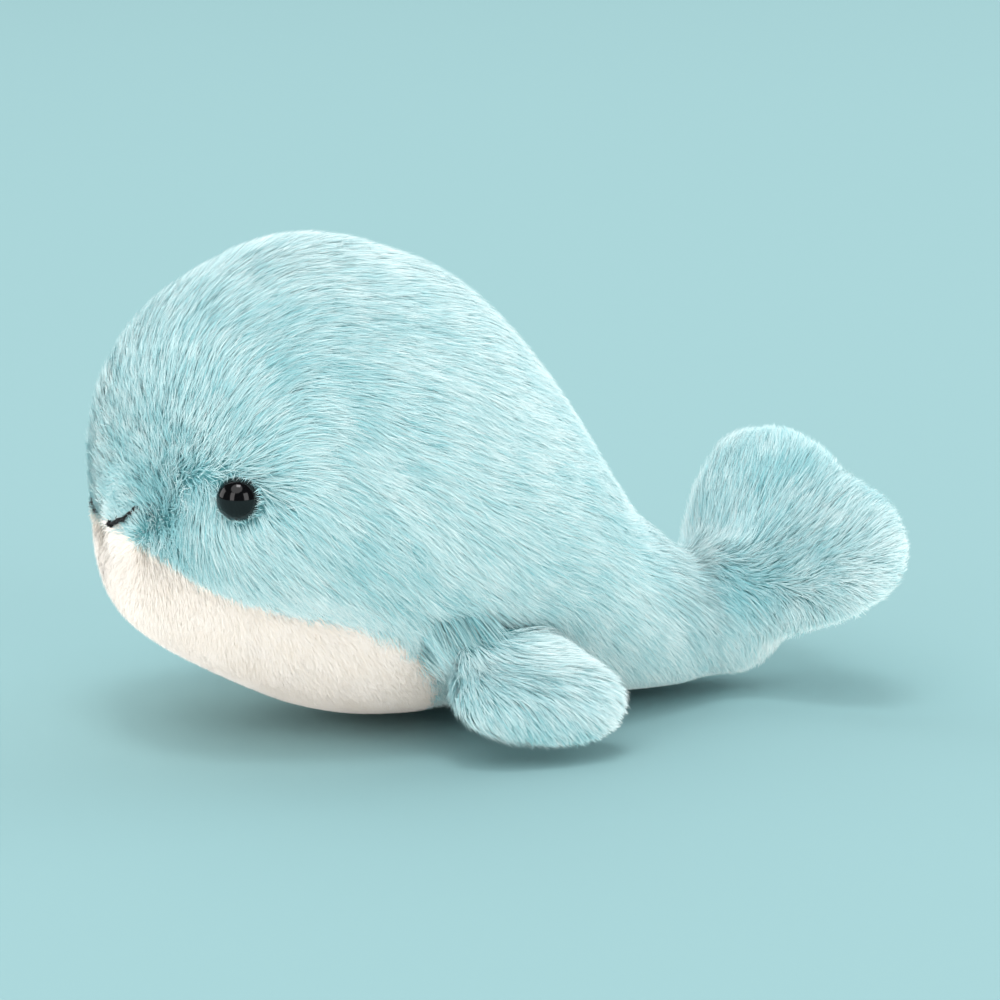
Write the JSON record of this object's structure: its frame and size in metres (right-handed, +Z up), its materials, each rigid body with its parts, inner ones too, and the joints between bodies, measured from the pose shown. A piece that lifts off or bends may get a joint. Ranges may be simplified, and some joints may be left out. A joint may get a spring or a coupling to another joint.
{
  "type": "plush whale",
  "caption": "Stuffed whale toy of aqua pile fabric with a white belly, safety eyes, a stitched mouth, flippers and an upturned tail that bend on their root seams.",
  "frame": {"origin": "middle of the whale's footprint on the surface it rests on, below the body", "axes": "+X from the nose to the tail, +Y to the whale's right, +Z up"},
  "size_m": [0.2452, 0.1674, 0.1465],
  "materials": {
    "aqua_pile": "long soft pile, combed back",
    "white_pile": "short dense pile",
    "black_gloss_plastic": "polished dome",
    "white_plastic": "moulded, matte",
    "black_thread": "stitched thread",
    "fibre_filling": "loose fibre fill"
  },
  "bodies": {
    "body": {"left_side_panel": "aqua_pile", "right_side_panel": "aqua_pile", "belly_panel": "white_pile", "body_stuffing": "fibre_filling", "left_eye": "black_gloss_plastic", "right_eye": "black_gloss_plastic", "left_eye_washer": "white_plastic", "right_eye_washer": "white_plastic", "mouth_stitches": "black_thread"},
    "left_flipper": {"left_flipper_upper_panel": "aqua_pile", "left_flipper_lower_panel": "aqua_pile", "left_flipper_stuffing": "fibre_filling"},
    "right_flipper": {"right_flipper_upper_panel": "aqua_pile", "right_flipper_lower_panel": "aqua_pile", "right_flipper_stuffing": "fibre_filling"},
    "tail": {"tail_upper_panel": "aqua_pile", "tail_lower_panel": "aqua_pile", "tail_stuffing": "fibre_filling"}
  },
  "joints": [
    {"name": "left_flipper_lift", "type": "hinge", "parent": "body", "child": "left_flipper", "pos_m": [-0.01481, -0.05393, 0.032], "axis": [-0.9936, -0.1133, 0], "range_deg": [-5, 40], "stiffness_Nm_per_rad": 0.02},
    {"name": "right_flipper_lift", "type": "hinge", "parent": "body", "child": "right_flipper", "pos_m": [-0.01481, 0.05393, 0.032], "axis": [0.9936, -0.1133, 0], "range_deg": [-5, 40], "stiffness_Nm_per_rad": 0.02},
    {"name": "tail_bend", "type": "hinge", "parent": "body", "child": "tail", "pos_m": [0.07469, 0, 0.0235], "axis": [0, -1, 0], "range_deg": [-15, 20], "stiffness_Nm_per_rad": 0.1}
  ]
}
